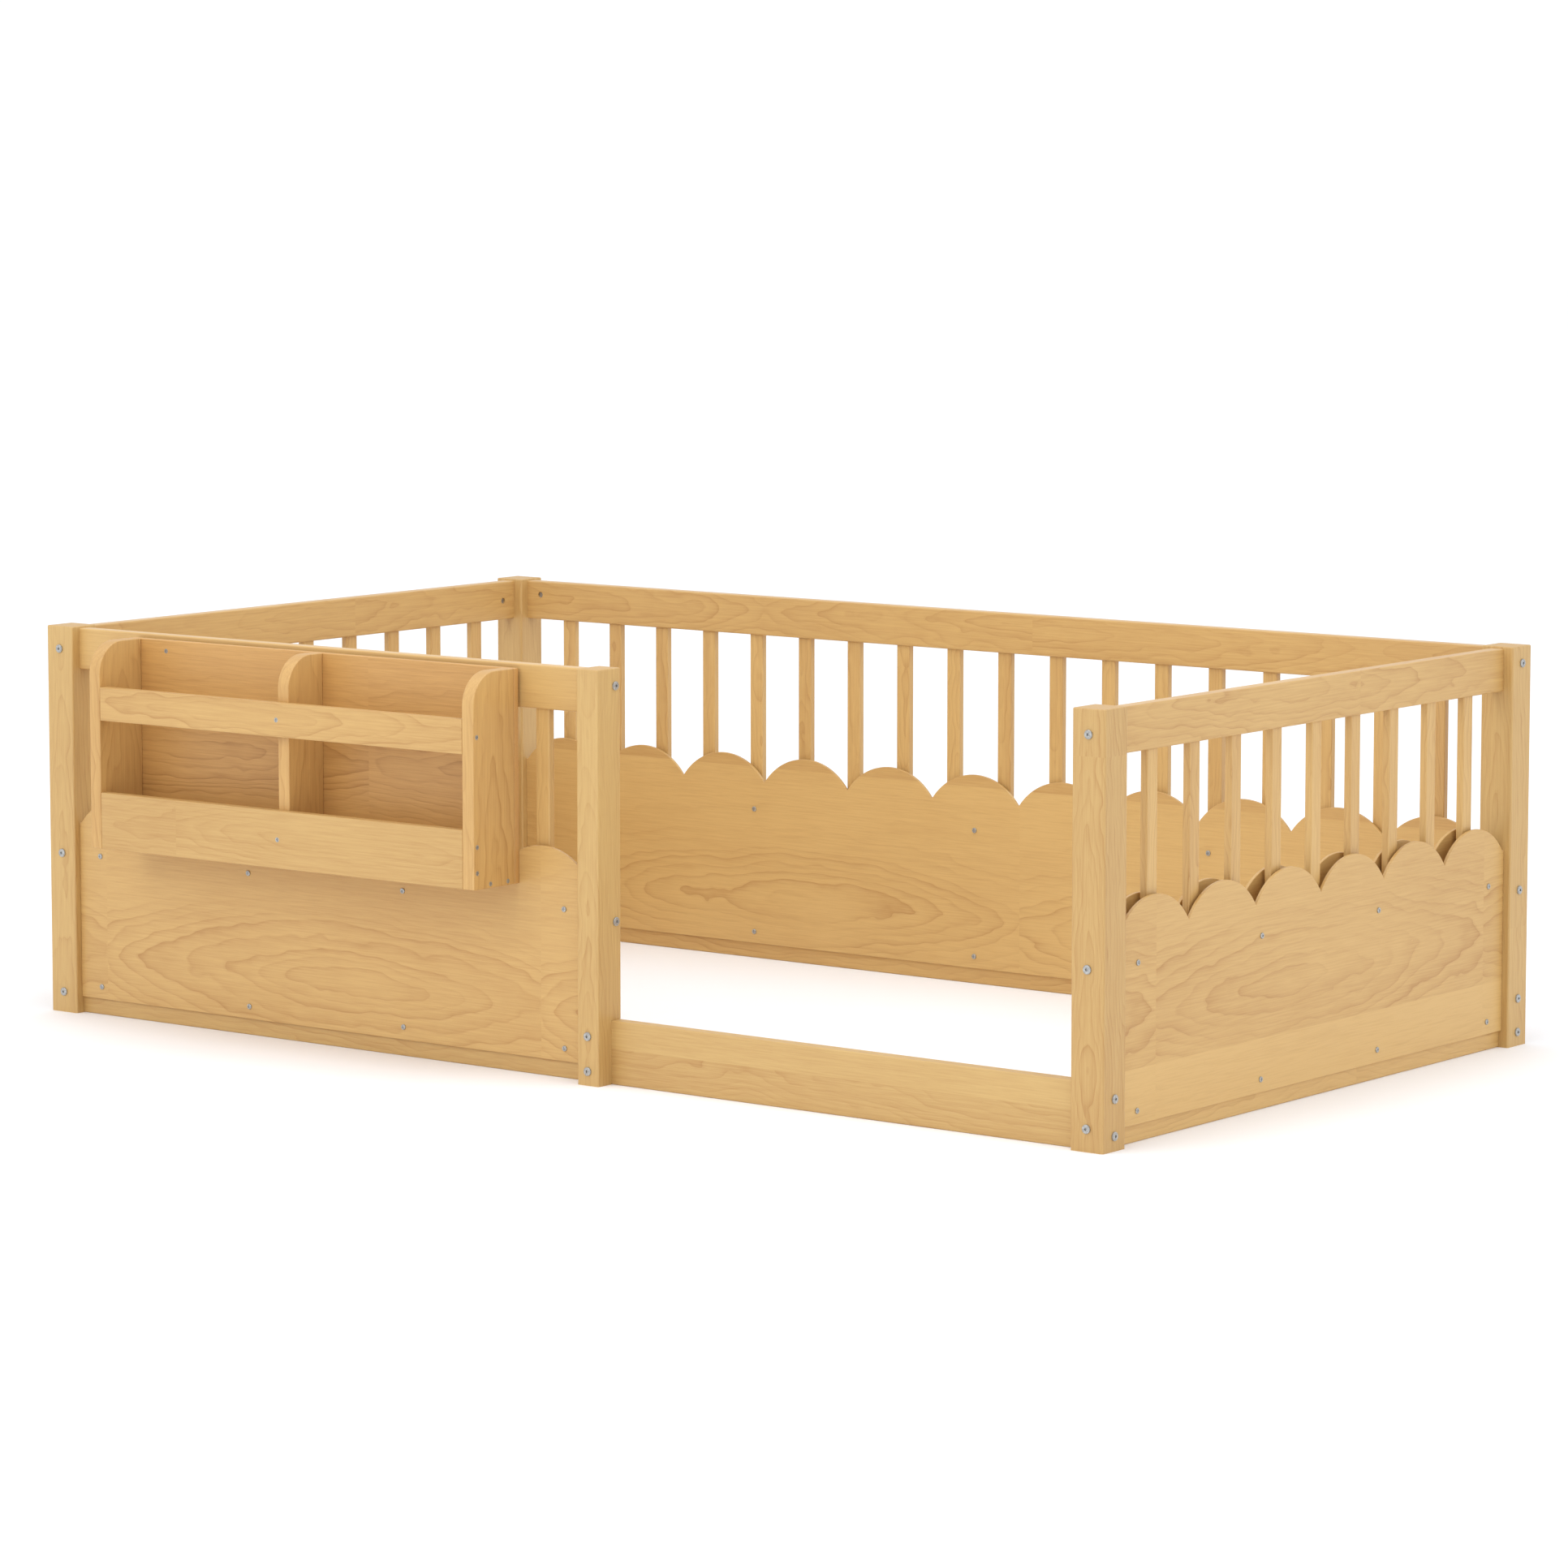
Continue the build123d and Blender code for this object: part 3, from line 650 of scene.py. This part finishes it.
# ---------------------------------------------------------------------------
# pieces
# ---------------------------------------------------------------------------
def model_panel(node, lobes, along):
    """A scalloped panel: one lobe of a disc, drawn down, repeated and thickened."""
    sizes = bpy.context.scene.playpen_sizes
    low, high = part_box(node)
    pitch = (high[along] - low[along]) / lobes
    rise = high[Z] - sizes.lobe_low
    radius = (rise * rise + pitch * pitch / 4) / (2 * rise)
    flat = 1 - along
    turn = (math.pi / 2, 0, 0) if along == X else (math.pi / 2, 0, math.pi / 2)
    spot = Vector(low)
    spot[along] = low[along] + pitch / 2
    spot[Z] = high[Z] - radius
    clear_selection()
    bpy.ops.mesh.primitive_circle_add(vertices=sizes.lobe_steps, radius=radius,
                                      fill_type="NGON", location=spot, rotation=turn)
    bpy.ops.object.transform_apply(location=True, rotation=True, scale=True)
    bpy.ops.object.mode_set(mode="EDIT")
    bpy.ops.mesh.select_all(action="SELECT")
    cut = Vector(spot)
    cut[Z] = sizes.lobe_low
    bpy.ops.mesh.bisect(plane_co=cut, plane_no=(0, 0, 1), use_fill=False,
                        clear_inner=True)
    edges_where(lambda p: near(p[Z], sizes.lobe_low))
    bpy.ops.mesh.extrude_region_move(
        TRANSFORM_OT_translate={"value": (0, 0, low[Z] - sizes.lobe_low)})
    bpy.ops.object.mode_set(mode="OBJECT")
    step = [0.0, 0.0, 0.0]
    step[along] = pitch
    apply_modifier("ARRAY", "lobes", count=lobes, use_relative_offset=False,
                   use_constant_offset=True, constant_offset_displace=step,
                   use_merge_vertices=True, merge_threshold=JOIN)
    bpy.ops.object.mode_set(mode="EDIT")
    bpy.ops.mesh.select_all(action="SELECT")
    bpy.ops.mesh.remove_doubles(threshold=JOIN)
    points_where(lambda p: near(p[Z], sizes.lobe_low, NOTCH_ROOM)
                 and (near(p[along], low[along], CLOSE)
                      or near(p[along], high[along], CLOSE)))
    bpy.ops.transform.translate(value=(0, 0, sizes.shoulder))
    bpy.ops.mesh.select_mode(type="FACE")
    bpy.ops.mesh.select_all(action="SELECT")
    bpy.ops.mesh.normals_make_consistent(inside=False)
    bpy.ops.mesh.dissolve_limited(angle_limit=FLAT)
    bpy.ops.mesh.select_all(action="SELECT")
    push = [0.0, 0.0, 0.0]
    push[flat] = high[flat] - low[flat]
    bpy.ops.mesh.extrude_region_move(TRANSFORM_OT_translate={"value": push})
    bpy.ops.mesh.select_all(action="SELECT")
    bpy.ops.mesh.normals_make_consistent(inside=False)
    bpy.ops.object.mode_set(mode="OBJECT")
    ease_edges(sizes.panel_round)


def model_board(node, corner):
    """A shelf board: a block with eased edges and, if asked, a round corner."""
    sizes = bpy.context.scene.playpen_sizes
    low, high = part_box(node)
    add_block(low, high)
    if corner:
        edges_where(lambda p: near(p[Y], low[Y], CLOSE) and near(p[Z], high[Z], CLOSE))
        bpy.ops.mesh.bevel(offset=sizes.corner_round, segments=CORNER_STEPS,
                           profile=0.5)
    bpy.ops.object.mode_set(mode="OBJECT")
    ease_edges(sizes.board_round)


def solids_of(node):
    """The points of each separate solid of a frame piece."""
    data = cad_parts[node].data
    keys = [tuple(round(c, 6) for c in p.co) for p in data.vertices]
    leader = {}

    def lead(key):
        while leader.setdefault(key, key) != key:
            leader[key] = leader[leader[key]]
            key = leader[key]
        return key

    for face in data.polygons:
        first = lead(keys[face.vertices[0]])
        for i in face.vertices:
            leader[lead(keys[i])] = first
    solids = {}
    for key in sorted(set(keys)):
        solids.setdefault(lead(key), []).append(Vector(key))
    return [solids[key] for key in sorted(solids)]


def screw_seat(points):
    """A countersunk screw's head: its middle, radius and way into the wood."""
    low = Vector([min(p[i] for p in points) for i in range(3)])
    high = Vector([max(p[i] for p in points) for i in range(3)])
    axis = max(range(3), key=lambda i: high[i] - low[i])
    ends = []
    for end, sense in ((low[axis], 1), (high[axis], -1)):
        spot = (low + high) / 2
        spot[axis] = end
        radius = max((p - spot).length for p in points if near(p[axis], end, CLOSE))
        way = Vector((0, 0, 0))
        way[axis] = sense
        ends.append((radius, spot, way))
    radius, spot, way = max(ends, key=lambda e: e[0])
    return spot, radius, way


def seat_screws(node, seats):
    """Countersink the active board for the screw heads that lie in it."""
    sizes = bpy.context.scene.playpen_sizes
    board = bpy.context.object
    low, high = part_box(node)
    for spot, radius, way in seats:
        inside = spot + way * MM
        if not all(low[i] < inside[i] < high[i] for i in range(3)):
            continue
        clear_selection()
        depth = sizes.seat_depth + SEAT_OVER
        slope = (radius - sizes.seat_hole) / sizes.seat_depth
        bpy.ops.mesh.primitive_cone_add(
            vertices=SEAT_STEPS, radius1=radius + SEAT_PLAY + slope * SEAT_OVER,
            radius2=sizes.seat_hole, depth=depth,
            location=spot + way * (depth / 2 - SEAT_OVER),
            rotation=way.to_track_quat("Z", "Y").to_euler())
        cutter = bpy.context.object
        bpy.context.view_layer.objects.active = board
        apply_modifier("BOOLEAN", "screw seat", operation="DIFFERENCE", object=cutter,
                       solver="EXACT")
        bpy.data.objects.remove(cutter)
    clear_selection()
    board.select_set(True)


class PLAYPEN_OT_panels(Operator):
    """Model the scalloped panels of the front, back and ends"""
    bl_idname = "playpen.panels"
    bl_label = "Scalloped panels"

    def execute(self, context):
        sizes = context.scene.playpen_sizes
        side, back = sizes.lobes_side, sizes.lobes_back
        front0, front1 = span("panel_front_outer", X)
        back0, back1 = span("panel_back_inner", X)
        end0, end1 = span("panel_right_outer", Y)
        rows = [
            ("panel_front_outer", X, side, dict(
                seed=1.0, eye=0.048 + STAVE, heart=-0.085,
                cuts=[Glue(X, front0 + 0.058, STAVE, 0.0),
                      Glue(X, front1 - 0.090, STAVE, -0.02)])),
            # the back panel's tone below nought is painted light that lifts its shaded
            # inside face
            ("panel_back_inner", X, back, dict(
                seed=2.0, eye=-0.36 + STAVE, heart=-0.08, tone=-0.16,
                cuts=[Glue(X, back0 + 0.153, STAVE, 0.03),
                      Glue(X, back1 - 0.865, STAVE, -0.02),
                      Glue(Z, 0.325, 0.15, 0.26)])),
            ("panel_right_outer", Y, side, dict(
                seed=3.0, eye=-0.085 + STAVE, heart=0.285, tone=-0.19,
                cuts=[Glue(Y, end0 + 0.091, STAVE, 0.0),
                      Glue(Y, end1 - 0.058, STAVE, -0.01),
                      Glue(Z, 0.105, 0.29, 0.19)])),
            ("panel_right_inner", Y, side, dict(
                seed=4.0, eye=0.12, heart=-0.05,
                cuts=[Glue(Y, end1 - 0.11, STAVE, 0.02)])),
            ("panel_left_outer", Y, side, dict(
                seed=5.0, eye=-0.10, heart=0.22, tone=-0.04,
                cuts=[Glue(Y, end0 + 0.12, 0.7, 0.02), Glue(Z, 0.118, 0.25, 0.06)])),
            ("panel_left_inner", Y, side, dict(
                seed=6.0, eye=0.05, heart=-0.07, tone=-0.03,
                cuts=[Glue(Y, end1 - 0.075, STAVE, 0.03)])),
        ]
        for node, along, lobes, looks in rows:
            name = node.replace("panel_", "scalloped_panel_")
            finish = maple(node, along, Z, taper=0.21, hollow=0.004, arch=0.045,
                           ring=2.0, **looks)
            model_panel(node, lobes, along)
            settle(name, node, finish)
        return {"FINISHED"}


class PLAYPEN_OT_shelf(Operator):
    """Model the boards of the outside shelf"""
    bl_idname = "playpen.shelf"
    bl_label = "Outside shelf"

    def execute(self, context):
        left = span("shelf_lower_board", X)[0]
        seats = [screw_seat(points) for points in solids_of("screws_shelf")]
        # the shelf boards' warm shares are painted bounce light in their shade; the
        # lower board's share below nought paints its lit front paler
        rows = [
            ("shelf_side_left", Z, Y, True, dict(seed=11.0, amber=0.2, eye=-0.30)),
            ("shelf_side_right", Z, Y, True, dict(seed=12.0, amber=0.2, eye=-0.25)),
            ("shelf_divider", Z, Y, True, dict(seed=13.0, amber=0.3, eye=-0.22)),
            ("shelf_back", X, Z, False, dict(
                seed=14.0, tone=0.08, amber=0.65, eye=-0.30, strength=1.5,
                cuts=[Glue(X, left + 0.472, 0.55, 0.02)])),
            ("shelf_bottom", X, Y, False, dict(seed=15.0, amber=0.5, eye=0.1)),
            ("shelf_slat", X, Z, False, dict(
                seed=16.0, tone=0.03, amber=0.05, eye=-0.14)),
            ("shelf_lower_board", X, Z, False, dict(
                seed=17.0, tone=0.13, amber=-0.12, eye=0.30, strength=0.55,
                cuts=[Glue(X, left + 0.159, 0.12, -0.02)])),
        ]
        for node, along, across, corner, looks in rows:
            finish = maple(node, along, across, taper=0.10, ring=1.4, **looks)
            model_board(node, corner)
            seat_screws(node, seats)
            settle("eased_" + node, node, finish)
        return {"FINISHED"}


class PLAYPEN_OT_posts(Operator):
    """Finish the corner posts and the entrance post"""
    bl_idname = "playpen.posts"
    bl_label = "Posts"

    def execute(self, context):
        rows = [
            ("post_front_left", dict(seed=21.0, tone=-0.01)),
            ("post_front_right", dict(
                seed=22.0, tone=0.12, cuts=[Glue(Z, 0.549, 0.7, -0.02)])),
            ("post_back_left", dict(seed=23.0, tone=0.03)),
            ("post_back_right", dict(
                seed=24.0, tone=0.03, cuts=[Glue(Z, 0.184, 0.9, 0.02)])),
            ("post_entrance", dict(seed=25.0, tone=-0.02)),
        ]
        for node, looks in rows:
            # the posts' share below nought paints their lit faces paler and cooler
            refinish(node, maple(node, Z, X, eye=-0.40, taper=0.075, hollow=0.030,
                                 arch=0.012, wander=0.02, ring=0.95, strength=0.8,
                                 amber=-0.25, **looks))
        return {"FINISHED"}


class PLAYPEN_OT_rails(Operator):
    """Finish the rails"""
    bl_idname = "playpen.rails"
    bl_label = "Rails"

    def execute(self, context):
        # the back and right base rails' tones below nought are painted light that
        # lifts the shade under the panels' edges; the front base rail's share below
        # nought paints its lit face paler
        own_looks = {
            "rail_front_base": dict(tone=0.10, amber=-0.25, strength=0.65),
            "rail_back_base": dict(tone=-0.06),
            "rail_right_base": dict(tone=-0.18),
        }
        top_z = span("rail_front_top", Z)[0]
        seed = 31.0
        for side, along in (("front", X), ("back", X), ("left", Y), ("right", Y)):
            for level in ("top", "middle", "base"):
                node = "rail_%s_%s" % (side, level)
                joint = Glue(along, middle(node)[along] + 0.11, 1.3, 0.03)
                own_cuts = {
                    "rail_front_top": [Glue(Z, top_z + 0.010, 0.9, -0.10)],
                    "rail_front_base": [joint, Glue(Z, 0.0535, 0.35, -0.14)],
                }
                looks = dict(seed=seed, eye=0.37 * seed, heart=0.01, taper=0.11,
                             ring=1.2, strength=0.9, cuts=own_cuts.get(node, [joint]))
                looks.update(own_looks.get(node, {}))
                refinish(node, maple(node, along, Z, **looks))
                seed += 1.0
        return {"FINISHED"}


class PLAYPEN_OT_bars(Operator):
    """Finish the upright bars"""
    bl_idname = "playpen.bars"
    bl_label = "Bars"

    def execute(self, context):
        groups = {}
        for node in sorted(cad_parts):
            if node.startswith("bars_"):
                groups.setdefault(node.split("_")[1], []).append(node)
        seed = 51.0
        for side, nodes in groups.items():
            axis = X if side in ("front", "back") else Y
            boxes = [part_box(n) for n in nodes]
            low = min(b[0][axis] for b in boxes)
            high = max(b[1][axis] for b in boxes)
            count = 3 * len(nodes)
            width = self.bar_width(nodes[0], axis)
            pitch = (high - low - width) / (count - 1)
            place = middle(nodes[0])
            place[axis] = low + width / 2
            # tone below nought on the bars is painted light that lifts their shade
            # inside the pen
            finish = wood("maple bars " + side, Z, axis, place, seed, taper=0.05,
                          hollow=0.012, ring=0.8, tone=-0.06,
                          bars=(axis, pitch, low + width / 2 - pitch / 2))
            for node in nodes:
                refinish(node, finish)
            seed += 1.0
        return {"FINISHED"}

    def bar_width(self, node, axis):
        """The width of one bar of a set of three."""
        places = sorted(p.co[axis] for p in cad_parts[node].data.vertices)
        gap = max(range(1, len(places)), key=lambda i: places[i] - places[i - 1])
        limit = places[0] + FIRST_BAR * (places[gap] - places[0])
        return max(p for p in places if p < limit) - places[0]


class PLAYPEN_OT_fasteners(Operator):
    """Finish the bolts, nuts and screws"""
    bl_idname = "playpen.fasteners"
    bl_label = "Bolts and screws"

    def execute(self, context):
        finish = steel("zinc plated steel")
        for node in ("bolts_frame", "nuts_frame", "screws_panel", "screws_shelf"):
            refinish(node, finish)
        return {"FINISHED"}


class PLAYPEN_OT_stage(Operator):
    """Lay the floor and set the lights and the camera"""
    bl_idname = "playpen.stage"
    bl_label = "Studio"

    def execute(self, context):
        look = context.scene.playpen_studio
        clear_selection()
        bpy.ops.mesh.primitive_grid_add(
            x_subdivisions=FLOOR_SQUARES, y_subdivisions=FLOOR_SQUARES,
            size=FLOOR_SIZE, location=(0, 0, 0))
        ground = bpy.context.object
        ground.name = "floor"
        ground.data.materials.append(floor_paint("pale floor"))
        clear_selection()
        world = bpy.data.worlds.new("even studio")
        world.use_nodes = True
        sky = world.node_tree.nodes["Background"]
        sky.inputs["Color"].default_value = SKY_TINT
        sky.inputs["Strength"].default_value = look.sky
        context.scene.world = world
        context.scene.view_settings.view_transform = "Standard"
        for name, place, size, share in LAMPS:
            self.lamp(name, place, size, look.key * share)
        eye = bpy.data.cameras.new("studio camera")
        eye.lens = look.lens
        eye.sensor_width = SENSOR
        eye.shift_y = look.camera_rise
        holder = bpy.data.objects.new("studio camera", eye)
        holder.location = look.camera_at
        holder.rotation_euler = look.camera_turn
        context.scene.collection.objects.link(holder)
        context.scene.camera = holder
        return {"FINISHED"}

    def lamp(self, name, place, size, power):
        """A large soft lamp that looks at the middle of the playpen."""
        data = bpy.data.lights.new(name, "AREA")
        data.shape = "SQUARE"
        data.size = size
        data.energy = power
        lamp = bpy.data.objects.new(name, data)
        lamp.location = place
        aim = LAMPS_AIM - Vector(place)
        lamp.rotation_euler = aim.to_track_quat("-Z", "Y").to_euler()
        bpy.context.scene.collection.objects.link(lamp)


class PLAYPEN_PT_sidebar(Panel):
    """The steps of the playpen and their settings"""
    bl_label = "Playpen"
    bl_idname = "PLAYPEN_PT_sidebar"
    bl_space_type = "VIEW_3D"
    bl_region_type = "UI"
    bl_category = "Playpen"

    def draw(self, context):
        layout = self.layout
        for step in STEPS:
            layout.operator(step.bl_idname)
        for name in SETTINGS:
            group = getattr(context.scene, name)
            box = layout.box()
            for prop in group.__annotations__:
                box.prop(group, prop)


STEPS = (
    PLAYPEN_OT_posts,
    PLAYPEN_OT_rails,
    PLAYPEN_OT_bars,
    PLAYPEN_OT_panels,
    PLAYPEN_OT_shelf,
    PLAYPEN_OT_fasteners,
    PLAYPEN_OT_stage,
)
SETTINGS = {
    "playpen_wood": PlaypenWood,
    "playpen_steel": PlaypenSteel,
    "playpen_sizes": PlaypenSizes,
    "playpen_studio": PlaypenStudio,
}


def register():
    """Register the settings, the steps and the panel."""
    for name, group in SETTINGS.items():
        bpy.utils.register_class(group)
        setattr(bpy.types.Scene, name, PointerProperty(type=group))
    for step in STEPS:
        bpy.utils.register_class(step)
    bpy.utils.register_class(PLAYPEN_PT_sidebar)


def unregister():
    """Remove the panel, the steps and the settings."""
    bpy.utils.unregister_class(PLAYPEN_PT_sidebar)
    for step in reversed(STEPS):
        bpy.utils.unregister_class(step)
    for name, group in reversed(list(SETTINGS.items())):
        delattr(bpy.types.Scene, name)
        bpy.utils.unregister_class(group)


def main():
    """Run every step in order."""
    register()
    clear_selection()
    for step in (bpy.ops.playpen.posts, bpy.ops.playpen.rails, bpy.ops.playpen.bars,
                 bpy.ops.playpen.panels, bpy.ops.playpen.shelf,
                 bpy.ops.playpen.fasteners, bpy.ops.playpen.stage):
        step()


if __name__ == "__main__":
    main()
